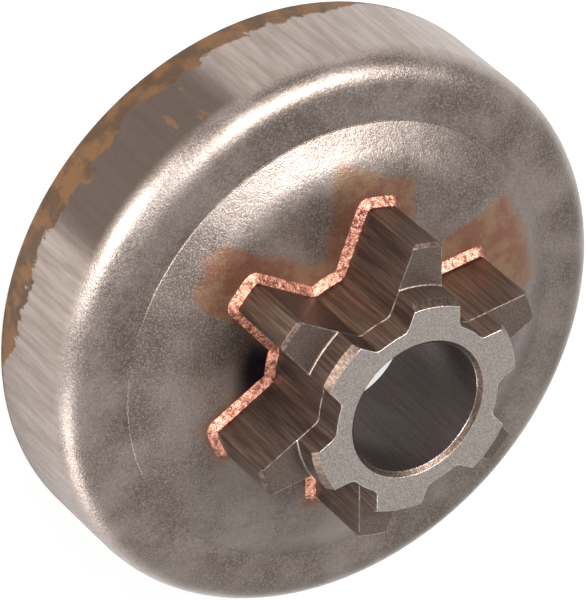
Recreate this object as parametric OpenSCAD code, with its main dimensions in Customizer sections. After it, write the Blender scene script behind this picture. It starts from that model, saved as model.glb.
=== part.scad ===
/* [Clutch drum] */
// Outside diameter of the drum at its open rim
drum_d = 57.6; // [54:0.1:80]
// Height from the open rim to the flat ring of the face
drum_h = 12.5; // [10:0.1:25]
// Thickness of the drawn steel sheet
sheet_t = 1.8; // [1.2:0.1:2.4]
// Radius lost by the outer wall between the rim and the shoulder
wall_draft = 0.25; // [0:0.01:0.5]
// Outer radius of the rounded shoulder
shoulder_r = 3; // [2.6:0.1:4]
// Edge break on both edges of the open rim
rim_break = 0.25; // [0.1:0.01:0.4]
// Depth to which the flat ring is faced, which leaves a crisp circle at the raised centre
facing_cut = 0.12; // [0.05:0.01:0.3]
// Height of the flat centre above the flat ring
raised_h = 1.9; // [1.4:0.1:2.4]
// Slope of the raised centre's flank, in degrees
raised_slope = 25; // [20:1:32]
// Radius of the bend between that flank and the flat centre
bend_r = 7; // [4:0.1:8]
// Width of the flat centre outside the copper fillet
flat_margin = 1.2; // [0.4:0.1:2]

/* [Star sprocket] */
// Number of teeth
tooth_count = 6; // [5:1:7]
// Diameter over the tooth tips
tip_d = 30.1; // [28:0.1:31]
// Diameter at the floor of the tooth gaps
root_d = 17.1; // [16.8:0.1:19]
// Width of a tooth across its tip
tip_w = 2.95; // [2.4:0.05:3.4]
// Slope of each flank against the tooth's middle line, in degrees
flank_slope = 11; // [8:0.5:13]
// Radius in the two corners of a tooth gap
root_fillet = 0.9; // [0.5:0.05:1.1]
// Radius on the two long corners of a tooth tip
tip_round = 0.45; // [0.2:0.05:0.7]
// Height of the teeth above the drum's flat centre
tooth_h = 8.3; // [5:0.1:14]
// Width of the turned edge break on the tooth tips
tip_break = 0.35; // [0.15:0.05:0.6]
// Diameter of the turned nose in front of the teeth
nose_d = 21.7; // [20:0.1:24]
// Height of the nose above the teeth
nose_h = 3.1; // [1.5:0.1:6]
// Width of the edge break on the nose, measured across
nose_break = 0.5; // [0.2:0.05:0.8]
// Height of the edge break on the nose
nose_break_h = 0.7; // [0.3:0.05:1]
// Radius that the turning tool leaves between the tooth faces and the nose
tool_r = 0.2; // [0.1:0.05:0.4]

/* [Bearing bore] */
// Diameter of the bore for the needle cage
bore_d = 13; // [11:0.1:13.6]
// Edge break at the front mouth of the bore
mouth_break = 0.45; // [0.2:0.05:0.7]
// Edge break at the rear mouth of the bore
rear_break = 0.15; // [0.05:0.05:0.4]

/* [Joint] */
// Wall of the spigot that passes through the drum
spigot_wall = 1.5; // [1:0.1:1.6]
// Radial clearance of the spigot in the drum's hole
spigot_gap = 0.02; // [0.01:0.01:0.1]
// Width of the copper fillet on the drum's flat centre
braze_w = 0.75; // [0.4:0.05:1]
// Height of the copper fillet on the teeth
braze_h = 0.65; // [0.4:0.05:1]

/* [Hidden] */

// Cuts run this far past the solid that they cut
over = 1;
// Rounds cross the curves that they blend into by this much, so that no two only touch
lap = 0.002;
$fn = 128;

// Radii of the star
tip_r = tip_d / 2;
root_r = root_d / 2;
nose_r = nose_d / 2;
bore_r = bore_d / 2;
spigot_r = bore_r + spigot_wall;
pitch = 360 / tooth_count;

// Distance from the axis to the centres of the rounds on the tips and in the gaps
tip_corner_r = tip_r - tip_round + lap;
gap_corner_r = root_r + root_fillet - lap;

// Heights of the drum and of the star that stands on it
ring_z = drum_h;
seat_z = ring_z + raised_h;
under_seat_z = seat_z - sheet_t;
under_ring_z = ring_z + facing_cut - sheet_t;
face_z = seat_z + tooth_h;
nose_z = face_z + nose_h;

// Radii of the drum, from the rim inwards
drum_r = drum_d / 2;
inner_r = drum_r - sheet_t;
inner_shoulder_r = shoulder_r - sheet_t;
flat_r = tip_r + braze_w + flat_margin;
bend_drop = bend_r * (1 - cos(raised_slope));
flank_run = (raised_h - facing_cut - bend_drop) / tan(raised_slope);
raised_r = flat_r + bend_r * sin(raised_slope) + flank_run;
bend_centre = [flat_r, seat_z - bend_r];

// Straight line of a tooth's flank: its distance from the axis and its outward angle
flank_reach = tip_w / 2 * cos(flank_slope) + tip_r * sin(flank_slope);
flank_angle = 90 - flank_slope;

// The copper's leaning side is carried on into the star, a fifth above the fillet's height
carry = 1.2;
copper_top = carry * braze_h;
copper_lean = carry * braze_w;

function polar(radius, angle) = radius * [cos(angle), sin(angle)];
// Half the width of a tooth at a distance from the axis
function half_w(x) = (flank_reach - x * sin(flank_slope)) / cos(flank_slope);
// Angle of the point at one radius that lies a given distance outside the flank
function angle_at(radius, outside) = flank_angle - acos((flank_reach + outside) / radius);

// Pie slice that reaches past a circle of the given radius between two angles
module slice(radius, from, to) {
    half = (to - from) / 2;
    reach = radius + over;
    polygon([[0, 0], polar(reach, from), polar(reach / cos(half), from + half), polar(reach, to)]);
}

module sector(radius, from, to) {
    intersection() {
        circle(radius);
        slice(radius, from, to);
    }
}

// What lies between a circle and the two tangents at its ends
module outside_corner(radius, from, to) {
    difference() {
        slice(radius, from, to);
        circle(radius);
    }
}

// Everything under the drum's outer surface, as half a section
module drum_outside() {
    shoulder_centre = [drum_r - wall_draft - shoulder_r, ring_z - shoulder_r];
    polygon([
        [0, 0],
        [drum_r - rim_break, 0],
        [drum_r, rim_break],
        shoulder_centre + [shoulder_r, 0],
        shoulder_centre,
        shoulder_centre + [0, shoulder_r],
        [raised_r, ring_z],
        [raised_r, ring_z + facing_cut],
        bend_centre + polar(bend_r, 90 - raised_slope),
        bend_centre + [0, bend_r],
        [0, seat_z]
    ]);
    translate(shoulder_centre) sector(shoulder_r, 0, 90);
    translate(bend_centre) sector(bend_r, 90 - raised_slope, 90);
}

// The hollow lies one sheet thickness below that surface, and its wall is turned straight
module drum_hollow() {
    shoulder_centre = [inner_r - inner_shoulder_r, under_ring_z - inner_shoulder_r];
    under_bend_r = bend_r - sheet_t;
    polygon([
        [0, -over],
        [inner_r + rim_break + over, -over],
        [inner_r, rim_break],
        shoulder_centre + [inner_shoulder_r, 0],
        shoulder_centre,
        shoulder_centre + [0, inner_shoulder_r],
        [raised_r - sheet_t * tan(raised_slope / 2), under_ring_z],
        bend_centre + polar(under_bend_r, 90 - raised_slope),
        bend_centre + [0, under_bend_r],
        [0, under_seat_z]
    ]);
    translate(shoulder_centre) sector(inner_shoulder_r, 0, 90);
    translate(bend_centre) sector(under_bend_r, 90 - raised_slope, 90);
}

// Deep-drawn cup with a raised centre, open at the back for the clutch shoes
module clutch_drum() {
    color([0.36, 0.32, 0.30])
    rotate_extrude()
    difference() {
        drum_outside();
        drum_hollow();
        translate([0, -over]) square([spigot_r + spigot_gap, seat_z + 2 * over]);
    }
}

// One tooth from the axis outwards, with the two long corners of its tip rounded
module tooth() {
    end = tip_r + over;
    corner = angle_at(tip_corner_r, lap - tip_round);
    difference() {
        intersection() {
            circle(tip_r);
            polygon([[0, -half_w(0)], [end, -half_w(end)], [end, half_w(end)], [0, half_w(0)]]);
        }
        for (side = [0, 1]) mirror([0, side])
            translate(polar(tip_corner_r, corner)) outside_corner(tip_round, corner, flank_angle);
    }
}

// Fills the corner between a flank and the floor of the gap
module gap_corner() {
    corner = angle_at(gap_corner_r, root_fillet - lap);
    translate(polar(gap_corner_r, corner))
        outside_corner(root_fillet, 180 + corner, 180 + flank_angle);
}

// The bar that the star is cut from, seen from its end
module star_section() {
    circle(root_r);
    for (i = [0 : tooth_count - 1]) rotate(i * pitch) {
        tooth();
        for (side = [0, 1]) mirror([0, side]) gap_corner();
    }
}

// What the lathe leaves of that bar, as half a section: tips, tooth faces and nose
module turned_outline() {
    end = tip_r + over;
    difference() {
        polygon([
            [0, seat_z],
            [end, seat_z],
            [end, face_z - tip_break - over],
            [tip_r - tip_break, face_z],
            [nose_r + tool_r, face_z],
            [nose_r, face_z + tool_r],
            [nose_r, nose_z - nose_break_h],
            [nose_r - nose_break, nose_z],
            [0, nose_z]
        ]);
        translate([nose_r + tool_r, face_z + tool_r]) circle(tool_r);
    }
}

// Bore with its two edge breaks, as half a section
module bore_outline() {
    polygon([
        [0, under_seat_z - over],
        [bore_r + rear_break + over, under_seat_z - over],
        [bore_r, under_seat_z + rear_break],
        [bore_r, nose_z - mouth_break],
        [bore_r + mouth_break + over, nose_z + over],
        [0, nose_z + over]
    ]);
}

// Star bar, turned at its nose and its spigot and bored for the needle cage
module star_sprocket() {
    color([0.27, 0.23, 0.21])
    difference() {
        union() {
            intersection() {
                translate([0, 0, seat_z]) linear_extrude(nose_z - seat_z) star_section();
                rotate_extrude() turned_outline();
            }
            translate([0, 0, under_seat_z]) cylinder(r = spigot_r, h = seat_z - under_seat_z);
        }
        rotate_extrude() bore_outline();
    }
}

// Upright round whose side leans in from one fillet width outside a round of the star
module copper_round(radius) {
    cylinder(r1 = radius + braze_w, r2 = radius + braze_w - copper_lean, h = copper_top);
}

// Bar along one flank of a tooth, with the same leaning side
module copper_flank() {
    rotate([0, 0, flank_angle]) rotate([90, 0, 0])
    linear_extrude(tip_r + 2 * over) polygon([
        [-2 * flank_reach, 0],
        [flank_reach + braze_w, 0],
        [flank_reach + braze_w - copper_lean, copper_top],
        [-2 * flank_reach, copper_top]
    ]);
}

// Copper around one tooth, as if the tooth were copper too
module copper_tooth() {
    corner = angle_at(tip_corner_r, lap - tip_round);
    difference() {
        intersection() {
            copper_round(tip_r);
            copper_flank();
            mirror([0, 1, 0]) copper_flank();
        }
        for (side = [0, 1]) mirror([0, side, 0])
            translate(polar(tip_corner_r, corner)) difference() {
                translate([0, 0, -over]) linear_extrude(copper_top + 2 * over)
                    slice(tip_round + braze_w, corner, flank_angle);
                copper_round(tip_round);
            }
    }
}

// Copper fillet all round the foot of the star, on the drum's flat centre
module braze_fillet() {
    color([0.72, 0.42, 0.31])
    translate([0, 0, seat_z])
    difference() {
        union() {
            copper_round(root_r);
            for (i = [0 : tooth_count - 1]) rotate(i * pitch) copper_tooth();
        }
        translate([0, 0, -over]) linear_extrude(copper_top + 2 * over) star_section();
    }
}

clutch_drum();
star_sprocket();
braze_fillet();
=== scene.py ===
import math
import bpy
from mathutils import Matrix, Vector


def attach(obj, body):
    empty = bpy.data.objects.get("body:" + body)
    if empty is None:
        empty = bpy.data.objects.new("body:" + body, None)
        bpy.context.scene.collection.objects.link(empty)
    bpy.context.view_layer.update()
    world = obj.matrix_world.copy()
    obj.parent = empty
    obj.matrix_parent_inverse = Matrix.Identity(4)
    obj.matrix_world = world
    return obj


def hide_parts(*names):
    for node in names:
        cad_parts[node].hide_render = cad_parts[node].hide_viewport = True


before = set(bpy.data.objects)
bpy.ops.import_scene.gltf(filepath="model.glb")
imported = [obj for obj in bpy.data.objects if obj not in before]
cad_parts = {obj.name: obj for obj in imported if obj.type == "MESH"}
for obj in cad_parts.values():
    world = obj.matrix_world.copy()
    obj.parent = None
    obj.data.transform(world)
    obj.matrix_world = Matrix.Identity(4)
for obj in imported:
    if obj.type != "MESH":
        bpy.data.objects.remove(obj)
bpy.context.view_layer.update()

mm = 0.001
weldWithin = 0.000002  # metres between points that become one


def polar(radius, degrees):  # a point in the plane, from its distance and its angle
    return Vector((radius * math.cos(math.radians(degrees)), radius * math.sin(math.radians(degrees))))


def arcPoints(centre, radius, start, end, steps):  # both ends included
    return [Vector(centre) + polar(radius, start + (end - start) * i / steps) for i in range(steps + 1)]


def linePoints(start, end, steps):  # the end is left to the next stretch
    return [Vector(start).lerp(Vector(end), i / steps) for i in range(steps)]


# Drum: one section in half, from the hub's hole outwards and back along the inside
drum = {
    "rimRadius": 28.8, "draft": 0.25, "sheet": 1.8, "ringHeight": 12.5, "shoulder": 3.0, "rimBreak": 0.25,
    "raisedRadius": 22.37, "facing": 0.12, "seatHeight": 14.4, "flatRadius": 17.0, "bend": 7.0, "slope": 25.0,
    "hole": 8.02, "steps": 240, "waviness": 0.018,
}


def softCorner(before, corner, after, size, steps=3):  # replaces a sharp corner by a small round
    corner = Vector(corner)
    start = corner + (Vector(before) - corner).normalized() * size
    end = corner + (Vector(after) - corner).normalized() * size
    points = []
    for i in range(steps + 1):
        t = i / steps
        points.append(start * (1 - t) ** 2 + corner * 2 * t * (1 - t) + end * t ** 2)
    return points


def drumSection(d):
    seat, ring, sheet = d["seatHeight"], d["ringHeight"], d["sheet"]
    bendCentre = (d["flatRadius"], seat - d["bend"])
    shoulderCentre = (d["rimRadius"] - d["draft"] - d["shoulder"], ring - d["shoulder"])
    innerRadius = d["rimRadius"] - sheet
    innerShoulder = d["shoulder"] - sheet
    underRing = ring + d["facing"] - sheet
    innerCentre = (innerRadius - innerShoulder, underRing - innerShoulder)
    turn = math.tan(math.radians(d["slope"] / 2))
    step = [Vector((d["raisedRadius"], ring + d["facing"])), Vector((d["raisedRadius"], ring))]
    points = linePoints((d["hole"], seat), (d["flatRadius"], seat), 12)
    bendPoints = arcPoints(bendCentre, d["bend"], 90, 90 - d["slope"], 10)
    points += bendPoints[:-1] + linePoints(bendPoints[-1], step[0], 4)
    points += softCorner(bendPoints[-1], step[0], step[1], 0.03) + softCorner(step[0], step[1], (26, ring), 0.05)
    points += linePoints((d["raisedRadius"] + 0.2, ring), (shoulderCentre[0], ring), 6)
    points += arcPoints(shoulderCentre, d["shoulder"], 90, 0, 16)[:-1]
    rimOuter, rimLow = (d["rimRadius"], d["rimBreak"]), (d["rimRadius"] - d["rimBreak"], 0)
    points += linePoints((d["rimRadius"] - d["draft"], ring - d["shoulder"]), rimOuter, 14)[:-1]
    points += softCorner((d["rimRadius"] - 0.02, 2), rimOuter, rimLow, 0.12)
    innerLow, innerWall = (innerRadius + d["rimBreak"], 0), (innerRadius, d["rimBreak"])
    points += softCorner(rimOuter, rimLow, innerLow, 0.08) + softCorner(rimLow, innerLow, innerWall, 0.08)
    points += softCorner(innerLow, innerWall, (innerRadius, 5), 0.08)
    points += linePoints((innerRadius, 0.6), (innerRadius, innerCentre[1]), 8)
    points += arcPoints(innerCentre, innerShoulder, 0, 90, 6)[:-1]
    underCorner = Vector((d["raisedRadius"] - sheet * turn, underRing))
    points += linePoints((innerCentre[0], underRing), underCorner, 4)
    underBend = arcPoints(bendCentre, d["bend"] - sheet, 90 - d["slope"], 90, 8)
    points += linePoints(underCorner, underBend[0], 3) + underBend
    points += linePoints((d["flatRadius"] - 0.2, seat - sheet), (d["hole"], seat - sheet), 8)
    points += [Vector((d["hole"], seat - sheet)), Vector((d["hole"], seat - sheet / 2))]
    return points


# Star: the outline of one tooth, from the middle of its tip to the middle of the gap
star = {
    "teeth": 6, "tip": 15.05, "root": 8.55, "tipHalf": 1.475, "slope": 11.0, "rootFillet": 0.9, "tipRound": 0.45,
    "seatHeight": 14.4, "faceHeight": 22.7, "noseHeight": 25.8, "nose": 10.85, "noseBreak": 0.5,
    "noseBreakHeight": 0.7, "toolRadius": 0.2, "tipBreak": 0.35, "bore": 6.5, "mouthBreak": 0.45,
    "rearBreak": 0.15, "spigot": 8.0, "rearHeight": 12.6, "edge": 0.07, "soft": 0.06, "noseSoft": 0.07,
}
slope = math.radians(star["slope"])
star["reach"] = star["tipHalf"] * math.cos(slope) + star["tip"] * math.sin(slope)  # from the axis to a flank
star["flank"] = 90 - star["slope"]  # outward direction of a flank
star["pitch"] = 360 / star["teeth"]


def centreAngle(s, radius, outside):  # angle of the point at this radius that lies so far outside the flank
    return s["flank"] - math.degrees(math.acos((s["reach"] + outside) / radius))


def onFlank(s, radius, inset):  # point of the flank at a radius
    reach = s["reach"] - inset
    return polar(reach, s["flank"]) + polar(math.sqrt(radius ** 2 - reach ** 2), s["flank"] - 90)


def toothOutline(s, inset, radii=()):  # half a tooth and half a gap, set inwards by inset
    tipCentre = polar(s["tip"] - s["tipRound"], centreAngle(s, s["tip"] - s["tipRound"], -s["tipRound"]))
    gapCentre = polar(s["root"] + s["rootFillet"], centreAngle(s, s["root"] + s["rootFillet"], s["rootFillet"]))
    tipAngle, gapAngle = (math.degrees(math.atan2(c.y, c.x)) for c in (tipCentre, gapCentre))
    points = arcPoints((0, 0), s["tip"] - inset, 0, tipAngle, 4)[:-1]
    points += arcPoints(tipCentre, s["tipRound"] - inset, tipAngle, s["flank"], 8)
    points += [onFlank(s, radius, inset) for radius in radii]
    points += arcPoints(gapCentre, s["rootFillet"] + inset, 180 + s["flank"], 180 + gapAngle, 9)
    return points + arcPoints((0, 0), s["root"] - inset, gapAngle, s["pitch"] / 2, 4)[1:]


def turnedRows(s):  # what the lathe leaves, from the tips inwards to the bore and out at the back
    face, nose, noseRadius = s["faceHeight"], s["noseHeight"], s["nose"]
    tipSide, tipTop = (s["tip"], face - s["tipBreak"]), (s["tip"] - s["tipBreak"], face)
    rows = softCorner((s["tip"], face - 2), tipSide, tipTop, s["soft"])
    rows += softCorner(tipSide, tipTop, (12, face), s["soft"])
    centre = (noseRadius + s["toolRadius"], face + s["toolRadius"])
    rows += arcPoints(centre, s["toolRadius"], 270, 180, 4)
    breakLow, breakTop = (noseRadius, nose - s["noseBreakHeight"]), (noseRadius - s["noseBreak"], nose)
    rows += softCorner((noseRadius, face), breakLow, breakTop, s["noseSoft"])
    rows += softCorner(breakLow, breakTop, (8, nose), s["noseSoft"])
    mouthTop, mouthLow = (s["bore"] + s["mouthBreak"], nose), (s["bore"], nose - s["mouthBreak"])
    rows += softCorner((9, nose), mouthTop, mouthLow, s["soft"])
    rows += softCorner(mouthTop, mouthLow, (s["bore"], nose - 4), s["soft"])
    rear = s["rearHeight"]
    rows += linePoints((s["bore"], nose - 1), (s["bore"], rear + 1), 10)
    rows += [Vector((s["bore"], rear + s["rearBreak"])), Vector((s["bore"] + s["rearBreak"], rear))]
    rows += [Vector((s["spigot"] - 0.05, rear)), Vector((s["spigot"], rear + 0.05))]
    return rows + [Vector((s["spigot"], s["seatHeight"]))]


def rowHeight(rows, radius, inner):  # height of the turned outline at a radius, and the row it starts from
    best = None
    for i in range(len(rows) - 1):
        a, b = rows[i], rows[i + 1]
        if b.y < a.y - 1 or b.x > a.x:
            break
        if b.x - 1e-6 <= radius <= a.x + 1e-6:
            span = a.x - b.x
            t = 0 if span < 1e-9 else (a.x - radius) / span
            height = (a.y + (b.y - a.y) * t) if span > 1e-9 else (b.y if inner else a.y)
            if best is None or inner:
                best = (height, i + 1 if t < 1 - 1e-6 or inner else i + 2)
            if not inner:
                break
    return best


def toothSector(s):  # one tooth with half a gap on both sides, as points and faces
    rows = turnedRows(s)
    edge = s["edge"]
    topRows = [row for row in rows if row.y > s["faceHeight"] - 1 and row.x > s["bore"]]
    innermost, outermost = s["root"] + 1, s["tip"] - 0.5
    breakRadii = {round(row.x, 6) for row in topRows if innermost < row.x < outermost}
    nearest = onFlank(s, s["tip"] - 0.42, 0).length
    radii = sorted({*breakRadii, nearest, 13.9, 13.1, 12.3, 11.6, 10.0}, reverse=True)
    wall, rim = toothOutline(s, 0, radii), toothOutline(s, edge, radii)
    columns = []
    for outer, inner in zip(wall, rim):
        radius = inner.length
        low, high = rowHeight(rows, radius, False), rowHeight(rows, radius, True)
        columns.append((outer, inner, low))
        if high[0] - low[0] > 1e-4:
            columns.append((outer, inner, high))
    points, faces, index = [], [], {}

    def add(x, y, z):
        key = (round(x, 5), round(y, 5), round(z, 5))
        if key not in index:
            index[key] = len(points)
            points.append((x * mm, y * mm, z * mm))
        return index[key]

    grid = []
    for outer, inner, (top, firstRow) in columns:
        angle = math.atan2(inner.y, inner.x)
        line = [(outer.x, outer.y, s["seatHeight"] + (top - edge - s["seatHeight"]) * k / 6) for k in range(7)]
        middle = outer.lerp(inner, 0.35)
        line += [(middle.x, middle.y, top - 0.3 * edge), (inner.x, inner.y, top)]
        for i, row in enumerate(rows):
            if i < firstRow:
                line.append((inner.x, inner.y, top))
            else:
                line.append((row.x * math.cos(angle), row.x * math.sin(angle), row.y))
        line.append((outer.x, outer.y, s["seatHeight"]))
        grid.append(line)
    mirrored = [[(x, -y, z) for x, y, z in line] for line in reversed(grid)]
    grid = mirrored + grid[1:]
    for left, right in zip(grid, grid[1:]):
        for k in range(len(left) - 1):
            corners = [add(*left[k]), add(*right[k]), add(*right[k + 1]), add(*left[k + 1])]
            corners = [c for i, c in enumerate(corners) if c not in corners[:i]]
            if len(corners) > 2:
                faces.append(corners)
    return points, faces


# Geometry Nodes
class Tree:
    def __init__(self, name):
        self.group = bpy.data.node_groups.new(name, "GeometryNodeTree")
        self.group.interface.new_socket("Geometry", in_out="INPUT", socket_type="NodeSocketGeometry")
        self.group.interface.new_socket("Geometry", in_out="OUTPUT", socket_type="NodeSocketGeometry")
        self.inlet = self.group.nodes.new("NodeGroupInput")
        self.outlet = self.group.nodes.new("NodeGroupOutput")
        self.names = {}

    def size(self, name, kind, value):  # a named input of the tree
        socket = self.group.interface.new_socket(name, in_out="INPUT", socket_type="NodeSocket" + kind)
        self.names[socket.identifier] = value
        return self.inlet.outputs[name]

    def node(self, kind, settings=None, inputs=None, output=0):
        made = self.group.nodes.new(kind)
        for key, value in (settings or {}).items():
            setattr(made, key, value)
        for key, value in (inputs or {}).items():
            if isinstance(value, bpy.types.NodeSocket):
                self.group.links.new(value, made.inputs[key])
            else:
                made.inputs[key].default_value = value
        return made.outputs[output]

    def calc(self, operation, *values):
        return self.node("ShaderNodeMath", {"operation": operation}, dict(enumerate(values)))

    def finish(self, geometry, material):
        realized = self.node("GeometryNodeRealizeInstances", None, {"Geometry": geometry})
        painted = self.node("GeometryNodeSetMaterial", None, {"Geometry": realized, "Material": material})
        self.group.links.new(painted, self.outlet.inputs["Geometry"])

    def apply(self, name, points, edges=(), faces=()):  # runs the tree on a mesh and keeps the plain result
        source = bpy.data.meshes.new(name + "Source")
        source.from_pydata(points, edges, faces)
        holder = bpy.data.objects.new(name + "Source", source)
        bpy.context.scene.collection.objects.link(holder)
        modifier = holder.modifiers.new(name, "NODES")
        modifier.node_group = self.group
        for identifier, value in self.names.items():
            modifier[identifier] = value
        evaluated = holder.evaluated_get(bpy.context.evaluated_depsgraph_get())
        result = bpy.data.meshes.new_from_object(evaluated)
        result.name = name
        piece = bpy.data.objects.new(name, result)
        bpy.context.scene.collection.objects.link(piece)
        bpy.data.objects.remove(holder)
        result.shade_smooth()
        return piece


def turnedTree(name, d, count, material):  # turns a section about Z, with a faint unevenness of the sheet
    tree = Tree(name)
    steps = tree.size("Steps", "Int", d["steps"])
    rows = tree.size("Section points", "Int", count)
    waviness = tree.size("Waviness", "Float", d["waviness"] * mm)
    columns, lines = tree.calc("ADD", steps, 1), tree.calc("ADD", rows, 1)
    grid = tree.node("GeometryNodeMeshGrid", None, {
        "Vertices X": columns, "Vertices Y": lines, "Size X": 1.0, "Size Y": 1.0})
    index = tree.node("GeometryNodeInputIndex")
    around = tree.calc("FLOOR", tree.calc("DIVIDE", index, lines))
    along = tree.calc("SUBTRACT", index, tree.calc("MULTIPLY", around, lines))
    wrapped = tree.calc("MODULO", along, rows)
    position = tree.node("GeometryNodeInputPosition")
    sampled = tree.node("GeometryNodeSampleIndex", {"data_type": "FLOAT_VECTOR", "clamp": True}, {
        "Geometry": tree.inlet.outputs["Geometry"], "Value": position, "Index": wrapped})
    split = tree.group.nodes.new("ShaderNodeSeparateXYZ")
    tree.group.links.new(sampled, split.inputs[0])
    angle = tree.calc("MULTIPLY", tree.calc("DIVIDE", tree.calc("MODULO", around, steps), steps), math.tau)
    cosine, sine = tree.calc("COSINE", angle), tree.calc("SINE", angle)
    radius, height = split.outputs[0], split.outputs[2]
    place = tree.node("ShaderNodeCombineXYZ", None, {
        0: tree.calc("MULTIPLY", radius, cosine), 1: tree.calc("MULTIPLY", radius, sine), 2: height})
    wave = tree.node("ShaderNodeTexNoise", None, {"Vector": place, "Scale": 90.0, "Detail": 1.0})
    inward = tree.calc("MULTIPLY", tree.calc("SUBTRACT", wave, 1.0), waviness)
    wavyRadius = tree.calc("ADD", radius, inward)
    wavy = tree.node("ShaderNodeCombineXYZ", None, {
        0: tree.calc("MULTIPLY", wavyRadius, cosine), 1: tree.calc("MULTIPLY", wavyRadius, sine), 2: height})
    placed = tree.node("GeometryNodeSetPosition", None, {"Geometry": grid, "Position": wavy})
    merged = tree.node("GeometryNodeMergeByDistance", None, {"Geometry": placed, "Distance": weldWithin})
    tree.finish(merged, material)
    return tree


def ringTree(name, s, material):  # repeats one tooth round the axis
    tree = Tree(name)
    count = tree.size("Teeth", "Int", s["teeth"])
    points = tree.node("GeometryNodePoints", None, {"Count": count})
    index = tree.node("GeometryNodeInputIndex")
    turn = tree.calc("DIVIDE", tree.calc("MULTIPLY", index, math.tau), count)
    rotation = tree.node("ShaderNodeCombineXYZ", None, {2: turn})
    copies = tree.node("GeometryNodeInstanceOnPoints", None, {
        "Points": points, "Instance": tree.inlet.outputs["Geometry"], "Rotation": rotation})
    real = tree.node("GeometryNodeRealizeInstances", None, {"Geometry": copies})
    merged = tree.node("GeometryNodeMergeByDistance", None, {"Geometry": real, "Distance": weldWithin})
    tree.finish(merged, material)
    return tree


def weightedNormals(piece):  # flat faces stay flat, and only the small rounds between them shade round
    mesh = piece.data
    totals = [Vector() for _ in mesh.vertices]
    for face in mesh.polygons:
        for corner in face.vertices:
            totals[corner] += face.normal * face.area
    mesh.normals_split_custom_set_from_vertices([t.normalized() for t in totals])


# Shader fields and finishes
class Field:  # wraps a shader socket, so that arithmetic on it adds Math nodes
    def __init__(self, finish, socket):
        self.finish, self.socket = finish, socket

    def math(self, operation, *others):
        return self.finish.node("ShaderNodeMath", {"operation": operation}, dict(enumerate((self, *others))))

    def __add__(self, other):
        return self.math("ADD", other)

    def __radd__(self, other):
        return self.math("ADD", other)

    def __sub__(self, other):
        return self.math("SUBTRACT", other)

    def __rsub__(self, other):
        return self.finish.number("SUBTRACT", other, self)

    def __mul__(self, other):
        return self.math("MULTIPLY", other)

    def __rmul__(self, other):
        return self.math("MULTIPLY", other)

    def __truediv__(self, other):
        return self.math("DIVIDE", other)

    def __rtruediv__(self, other):
        return self.finish.number("DIVIDE", other, self)

    def __pow__(self, other):
        return self.math("POWER", other)

    def over(self, other):
        return self.math("MAXIMUM", other)

    def under(self, other):
        return self.math("MINIMUM", other)

    def rise(self, start, end):  # 0 before start and 1 after end, with soft ends
        return self.finish.node("ShaderNodeMapRange", {"interpolation_type": "SMOOTHSTEP"}, {
            "Value": self, "From Min": start, "From Max": end})

    def fall(self, start, end):
        return 1 - self.rise(start, end)


class Finish:  # one procedural material on Object coordinates, in millimetres
    def __init__(self, name, constants=None):
        self.material = bpy.data.materials.new(name)
        self.material.use_nodes = True
        self.tree = self.material.node_tree
        self.shader = self.tree.nodes["Principled BSDF"]
        for key, value in (constants or {}).items():
            self.shader.inputs[key].default_value = value
        self.place = self.scaled(self.node("ShaderNodeTexCoord", output="Object"), 1000)
        axes = [self.node("ShaderNodeSeparateXYZ", None, {0: self.place}, k) for k in range(3)]
        self.x, self.y, self.z = axes
        self.radius = (self.x * self.x + self.y * self.y) ** 0.5
        self.angle = self.number("ARCTAN2", self.y, self.x)

    def node(self, kind, settings=None, inputs=None, output=0):
        made = self.tree.nodes.new(kind)
        for key, value in (settings or {}).items():
            setattr(made, key, value)
        for key, value in (inputs or {}).items():
            if isinstance(value, Field):
                self.tree.links.new(value.socket, made.inputs[key])
            elif value is not None:
                made.inputs[key].default_value = value
        return Field(self, made.outputs[output])

    def number(self, operation, *values):
        return self.node("ShaderNodeMath", {"operation": operation}, dict(enumerate(values)))

    def scaled(self, vector, factor):
        return self.node("ShaderNodeVectorMath", {"operation": "MULTIPLY"}, {
            0: vector, 1: (factor,) * 3 if isinstance(factor, (int, float)) else factor})

    def cell(self, size, stretch=(1, 1, 1), detail=2.0, roughness=0.5, offset=0.0):  # noise of a size in mm
        vector = self.scaled(self.place, tuple(k / size for k in stretch))
        vector = self.node("ShaderNodeVectorMath", {"operation": "ADD"}, {
            0: vector, 1: (offset, offset * 0.7, offset * 0.3)})
        return self.node("ShaderNodeTexNoise", None, {
            "Vector": vector, "Scale": 1.0, "Detail": detail, "Roughness": roughness})

    def toward(self, degrees):  # cosine of the angle between a point and this direction, seen from above
        c, s = math.cos(math.radians(degrees)), math.sin(math.radians(degrees))
        return (self.x * c + self.y * s) / self.radius.over(0.01)

    def sector(self, degrees, half, soft):  # 1 within half degrees of a direction
        outer, inner = math.radians(half + soft), math.radians(max(half - soft, 0))
        return self.toward(degrees).rise(math.cos(outer), math.cos(inner))

    def blend(self, mask, below, above):
        return self.node("ShaderNodeMix", {"data_type": "RGBA"}, {
            0: mask, 6: self.rgba(below), 7: self.rgba(above)}, 2)

    def rgba(self, colour):
        return colour if isinstance(colour, Field) else (*colour, 1)

    def bump(self, height, depth, below=None):  # height 0..1 becomes a relief of depth mm
        return self.node("ShaderNodeBump", None, {"Height": height, "Distance": depth * mm, "Normal": below})

    def use(self, **channels):
        names = {"colour": "Base Color", "roughness": "Roughness", "metallic": "Metallic", "normal": "Normal"}
        for key, field in channels.items():
            self.tree.links.new(field.socket, self.shader.inputs[names[key]])
        return self.material


def toothField(f, s):  # distance outside the star's outline, in mm, negative inside
    pitch = math.radians(s["pitch"])
    folded = f.number("PINGPONG", f.angle + pitch * s["teeth"], pitch / 2)
    along, across = f.radius * f.number("COSINE", folded), f.radius * f.number("SINE", folded)
    flank = math.radians(s["flank"])
    side = along * math.cos(flank) + across * math.sin(flank) - s["reach"]
    tooth = side.over(along - s["tip"])
    return tooth.under(f.radius - s["root"])


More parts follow.
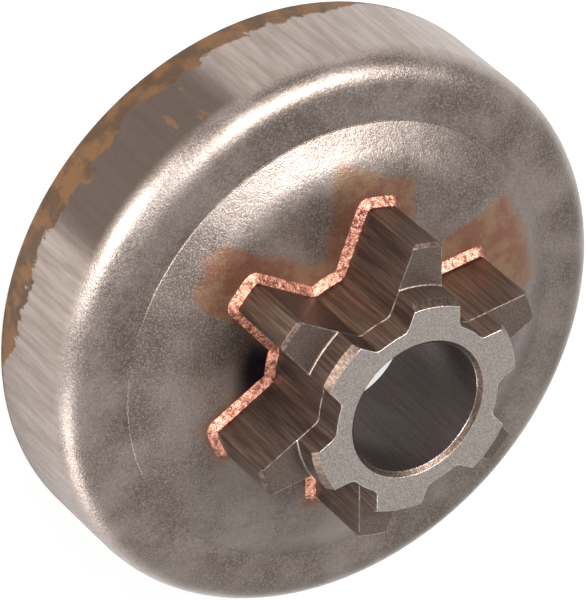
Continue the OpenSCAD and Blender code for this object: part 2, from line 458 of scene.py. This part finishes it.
# What each metal looks like, with colours as linear values
drumLook = {
    "steel": (0.215, 0.178, 0.158), "dark": (0.115, 0.088, 0.074), "light": (0.27, 0.235, 0.215),
    # the wall colour is partly brown patina and partly painted shade; the near-black colour after it is a
    # painted dark reflection
    "wall": (0.15, 0.118, 0.098), "paintedDarkReflection": (0.045, 0.030, 0.022),
    "rust": (0.115, 0.058, 0.026), "rustDark": (0.06, 0.036, 0.022),
    # the last colour here is painted shade, for the face between two teeth
    "tint": (0.20, 0.078, 0.045), "straw": (0.24, 0.135, 0.075), "paintedShadeBetweenTeeth": (0.012, 0.010, 0.016),
    "grain": 0.17, "roughness": 0.40,
}


def drumFinish(c, s):
    f = Finish("drumSteel", {"Metallic": 0.9})
    outside = toothField(f, s)
    fine = f.cell(c["grain"], detail=2, roughness=0.7)
    coarse = f.cell(0.55, detail=3, roughness=0.6, offset=7)
    cloudy = f.cell(6.0, detail=4, roughness=0.55, offset=31)
    patchy = f.cell(2.2, detail=4, roughness=0.6, offset=53)
    colour = f.blend(cloudy.rise(0.32, 0.68), c["dark"], c["steel"])
    colour = f.blend(fine.rise(0.42, 0.72) * 0.75, colour, c["light"])
    colour = f.blend(fine.fall(0.28, 0.46) * 0.5, colour, c["dark"])
    # outer wall: browner and darker, partly brown patina and partly painted shade, with a painted dark
    # reflection down one side and rust that climbs from the rim
    wall = f.radius.rise(27.6, 28.4) * f.z.fall(9.5, 11.5)
    streaks = f.cell(1.0, stretch=(1.4, 1.4, 0.12), detail=3, roughness=0.6, offset=11)
    wallColour = f.blend(streaks.rise(0.3, 0.7), c["wall"], c["steel"])
    # painted shade: a near-black reflection painted down the side of the wall around 49 degrees
    darkReflectionMask = f.sector(49, 19, 4)
    wallColour = f.blend(darkReflectionMask * 0.9, wallColour, c["paintedDarkReflection"])
    edge = f.cell(1.6, stretch=(1, 1, 0.8), detail=4, roughness=0.62, offset=90)
    climb = f.sector(72, 24, 5) * 2.2 + f.sector(20, 22, 8) * 1.6 + f.sector(45, 16, 5) * 0.7 + 0.5
    rusted = (climb * (0.45 + edge * 1.5) - f.z).rise(-0.12, 0.25)
    wallColour = f.blend(rusted * 0.95, wallColour, f.blend(patchy.rise(0.4, 0.6), c["rust"], c["rustDark"]))
    spot = f.cell(1.3, stretch=(1, 1, 0.3), detail=3, offset=17).rise(0.66, 0.74) * f.sector(55, 30, 8)
    wallColour = f.blend(spot * 0.85, wallColour, c["rust"])
    colour = f.blend(wall, colour, wallColour)
    # heat tint round the braze, widest at the foot of three teeth
    reach = 1.3 + f.sector(60, 7, 6) * 4.2 + f.sector(0, 16, 12) * 1.6
    reach = reach + f.sector(-62, 22, 14) * 3.6 + f.sector(30, 20, 10) * 1.4
    reach = reach * (0.55 + cloudy * 0.9 + patchy * 0.35 - 0.2)
    onFace = f.radius.fall(22.3, 22.5) * f.z.rise(12.0, 12.2)
    tinted = (reach - outside).rise(-0.5, 0.9) * onFace
    colour = f.blend(tinted * 0.8, colour, f.blend(patchy.rise(0.42, 0.6), c["tint"], c["straw"]))
    # painted shade: a near-black patch painted on the face between two teeth, where shade falls
    shadeBetweenTeethMask = f.sector(93, 12, 8) * f.radius.fall(10.8, 13.2)
    colour = f.blend(shadeBetweenTeethMask * onFace * 0.97, colour, c["paintedShadeBetweenTeeth"])
    grain = f.bump(fine, 0.030)
    grain = f.bump(coarse, 0.030, grain)
    grain = f.bump(cloudy, 0.05, grain)
    rough = c["roughness"] + (fine - 0.5) * 0.25 + (cloudy - 0.5) * 0.12 + wall * 0.06 + rusted * wall * 0.25
    return f.use(colour=colour, roughness=rough, normal=grain)


starLook = {
    "black": (0.055, 0.036, 0.028), "brown": (0.11, 0.078, 0.062), "turned": (0.21, 0.175, 0.155),
    "bright": (0.50, 0.45, 0.42), "bore": (0.17, 0.135, 0.13),
}


def starFinish(c, s):
    f = Finish("starSteel", {"Metallic": 0.95})
    outside = toothField(f, s)
    fine = f.cell(0.14, detail=2, roughness=0.7)
    coarse = f.cell(0.5, detail=3, offset=5)
    # lines of the drawn bar, along Z
    draw = f.cell(0.32, stretch=(1, 1, 0.05), detail=3, roughness=0.6, offset=3)
    colour = f.blend(draw.rise(0.35, 0.7), c["black"], c["brown"])
    faceHeight, noseHeight = s["faceHeight"], s["noseHeight"]
    face = f.z.rise(faceHeight - 0.02, faceHeight + 0.01) * f.z.fall(faceHeight + 0.1, faceHeight + 0.2)
    nose = f.z.rise(noseHeight - 0.05, noseHeight - 0.01)
    rings = f.node("ShaderNodeTexNoise", {"noise_dimensions": "1D"}, {
        "W": f.radius * 7, "Scale": 1.0, "Detail": 3.0, "Roughness": 0.6})
    turnedColour = f.blend(fine.rise(0.35, 0.7), c["brown"], c["turned"])
    colour = f.blend(face, colour, turnedColour)
    noseColour = f.blend(fine.rise(0.3, 0.7) * 0.7 + rings * 0.3, c["turned"], c["bright"])
    colour = f.blend(nose * 0.85, colour, noseColour)
    bore = f.radius.fall(s["bore"] + 0.02, s["bore"] + 0.12)
    colour = f.blend(bore, colour, f.blend(draw.rise(0.3, 0.7), c["bore"], c["turned"]))
    # worn edges and a painted edge highlight: the rims of the tooth faces and of the nose are painted bright
    wornEdgeAndHighlight = (outside + 0.12).rise(0.0, 0.05) * (face + nose)
    colour = f.blend(wornEdgeAndHighlight * coarse.rise(0.35, 0.6), colour, c["bright"])
    grain = f.bump(fine, 0.016)
    grain = f.bump(draw, 0.03, grain)
    rough = 0.42 + (fine - 0.5) * 0.25 - bore * 0.12
    return f.use(colour=colour, roughness=rough, normal=grain)


copperLook = {"copper": (0.42, 0.19, 0.13), "deep": (0.13, 0.045, 0.03), "pale": (0.72, 0.46, 0.38)}


def copperFinish(c):
    f = Finish("brazeCopper", {"Metallic": 0.95})
    fine = f.cell(0.13, detail=2, roughness=0.7)
    lump = f.cell(0.45, detail=3, offset=9)
    colour = f.blend(lump.rise(0.35, 0.65), c["deep"], c["copper"])
    colour = f.blend(fine.rise(0.55, 0.72) * 0.8, colour, c["pale"])
    grain = f.bump(lump, 0.10, f.bump(fine, 0.06))
    return f.use(colour=colour, roughness=0.42 + (fine - 0.5) * 0.3, normal=grain)


drumSteel = drumFinish(drumLook, star)
starSteel = starFinish(starLook, star)
brazeCopper = copperFinish(copperLook)
print("finishes made")

section = [(p.x * mm, 0, p.y * mm) for p in drumSection(drum)]
drumPiece = turnedTree("turnedDrum", drum, len(section), drumSteel).apply("drumShell", section)
weightedNormals(drumPiece)
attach(drumPiece, "root")
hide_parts("clutch_drum")
print("drum", len(drumPiece.data.polygons), "faces")

points, faces = toothSector(star)
starPiece = ringTree("starTeeth", star, starSteel).apply("starBar", points, (), faces)
weightedNormals(starPiece)
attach(starPiece, "root")
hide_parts("star_sprocket")
print("star", len(starPiece.data.polygons), "faces")

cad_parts["braze_fillet"].data.materials[0] = brazeCopper


# Floor, light and camera
def floorFinish():  # a pale floor that stays white behind the object and keeps its shadow
    f = Finish("paleFloor")
    f.shader.inputs["Base Color"].default_value = (0.82, 0.82, 0.82, 1)
    f.shader.inputs["Roughness"].default_value = 0.9
    f.shader.inputs["Specular IOR Level"].default_value = 0.1
    seen = f.node("ShaderNodeLightPath", output="Is Camera Ray")
    mirrored = f.node("ShaderNodeLightPath", output="Is Glossy Ray")
    through = f.node("ShaderNodeLightPath", output="Is Transmission Ray")
    white = f.node("ShaderNodeEmission", None, {"Color": (1, 1, 1, 1), "Strength": 1.0})
    lit = Field(f, f.shader.outputs[0])
    share = seen * 0.8 + mirrored * 0.3 + through * 0.8
    mixed = f.node("ShaderNodeMixShader", None, {0: share, 1: lit, 2: white})
    f.tree.links.new(mixed.socket, f.tree.nodes["Material Output"].inputs["Surface"])
    return f.material


floorHalf = 1.5
floorMesh = bpy.data.meshes.new("floor")
floorCorners = [(x * floorHalf, y * floorHalf, 0) for x, y in ((-1, -1), (1, -1), (1, 1), (-1, 1))]
floorMesh.from_pydata(floorCorners, [], [(0, 1, 2, 3)])
floorMesh.materials.append(floorFinish())
floor = bpy.data.objects.new("floor", floorMesh)
bpy.context.scene.collection.objects.link(floor)


def skyDirection(azimuth, elevation):
    level = polar(math.cos(math.radians(elevation)), azimuth)
    return Vector((*level, math.sin(math.radians(elevation))))


def studioWorld(c):  # white behind the object, and a soft room that is darker on one side
    world = bpy.data.worlds.new("studio")
    bpy.context.scene.world = world
    world.use_nodes = True
    tree = world.node_tree
    back = tree.nodes["Background"]
    coordinates = tree.nodes.new("ShaderNodeTexCoord")

    def lobe(azimuth, elevation, start, end):
        direction = skyDirection(azimuth, elevation)
        dot = tree.nodes.new("ShaderNodeVectorMath")
        dot.operation = "DOT_PRODUCT"
        tree.links.new(coordinates.outputs["Generated"], dot.inputs[0])
        dot.inputs[1].default_value = direction
        spread = tree.nodes.new("ShaderNodeMapRange")
        spread.interpolation_type = "SMOOTHSTEP"
        tree.links.new(dot.outputs["Value"], spread.inputs["Value"])
        spread.inputs["From Min"].default_value, spread.inputs["From Max"].default_value = start, end
        return spread.outputs["Result"]

    def calc(operation, *values):
        made = tree.nodes.new("ShaderNodeMath")
        made.operation = operation
        for socket, value in zip(made.inputs, values):
            if isinstance(value, bpy.types.NodeSocket):
                tree.links.new(value, socket)
            else:
                socket.default_value = value
        return made.outputs[0]

    level = calc("MULTIPLY_ADD", lobe(*c["brightSide"]), c["bright"] - c["level"], c["level"])
    level = calc("MULTIPLY", level, calc("MULTIPLY_ADD", lobe(*c["darkSide"]), c["dark"] - 1, 1.0))
    path = tree.nodes.new("ShaderNodeLightPath")
    bent = calc("ADD", path.outputs["Is Glossy Ray"], path.outputs["Is Transmission Ray"])
    white = calc("ADD", path.outputs["Is Camera Ray"], calc("MULTIPLY", bent, c["mirrored"]))
    strength = calc("ADD", calc("MULTIPLY", white, 1.0), calc("MULTIPLY", calc("SUBTRACT", 1.0, white), level))
    tree.links.new(strength, back.inputs["Strength"])
    back.inputs["Color"].default_value = (1, 1, 1, 1)


studio = {
    "level": 0.5, "bright": 0.85, "dark": 0.12, "mirrored": 0.0,
    "brightSide": (-150, 5, -0.2, 0.9), "darkSide": (0, -5, 0.25, 0.85),
}
studioWorld(studio)

lampAim = 0.012  # height of the point that the lamps face, in metres
lamps = {  # azimuth, elevation, distance, width, height and power
    "key": (-7, 53, 0.6, 0.42, 0.13, 9.0),
    "front": (69, 14, 0.6, 0.30, 0.30, 8.0),
    "side": (142, 8, 0.6, 0.20, 0.20, 2.5),
}


def placeLamp(name, azimuth, elevation, distance, width, height, power):
    data = bpy.data.lights.new(name, "AREA")
    data.shape, data.size, data.size_y, data.energy = "ELLIPSE", width, height, power
    lamp = bpy.data.objects.new(name, data)
    bpy.context.scene.collection.objects.link(lamp)
    away = skyDirection(azimuth, elevation)
    lamp.location = away * distance + Vector((0, 0, lampAim))
    lamp.rotation_euler = away.to_track_quat("Z", "Y").to_euler()


for name, values in lamps.items():
    placeLamp(name, *values)
print("stage lit")

camera = {  # millimetres and degrees
    "distance": 345.66, "azimuth": 50.437, "elevation": 47.262, "roll": -131.195,
    "aim": (-1.228, -1.474, 1.772), "lens": 219.29,
}


def placeCamera(c):
    azimuth, elevation = math.radians(c["azimuth"]), math.radians(c["elevation"])
    level = math.cos(elevation)
    back = Vector((math.cos(azimuth) * level, math.sin(azimuth) * level, math.sin(elevation)))
    data = bpy.data.cameras.new("camera")
    data.lens = c["lens"]
    data.clip_start, data.clip_end = 0.01, 10
    made = bpy.data.objects.new("camera", data)
    bpy.context.scene.collection.objects.link(made)
    made.rotation_mode = "QUATERNION"
    roll = Matrix.Rotation(math.radians(-c["roll"]), 3, "Z").to_quaternion()
    made.rotation_quaternion = (-back).to_track_quat("-Z", "Y") @ roll
    made.location = (Vector(c["aim"]) + back * c["distance"]) * mm
    bpy.context.scene.camera = made


placeCamera(camera)
bpy.context.scene.view_settings.view_transform = "Standard"
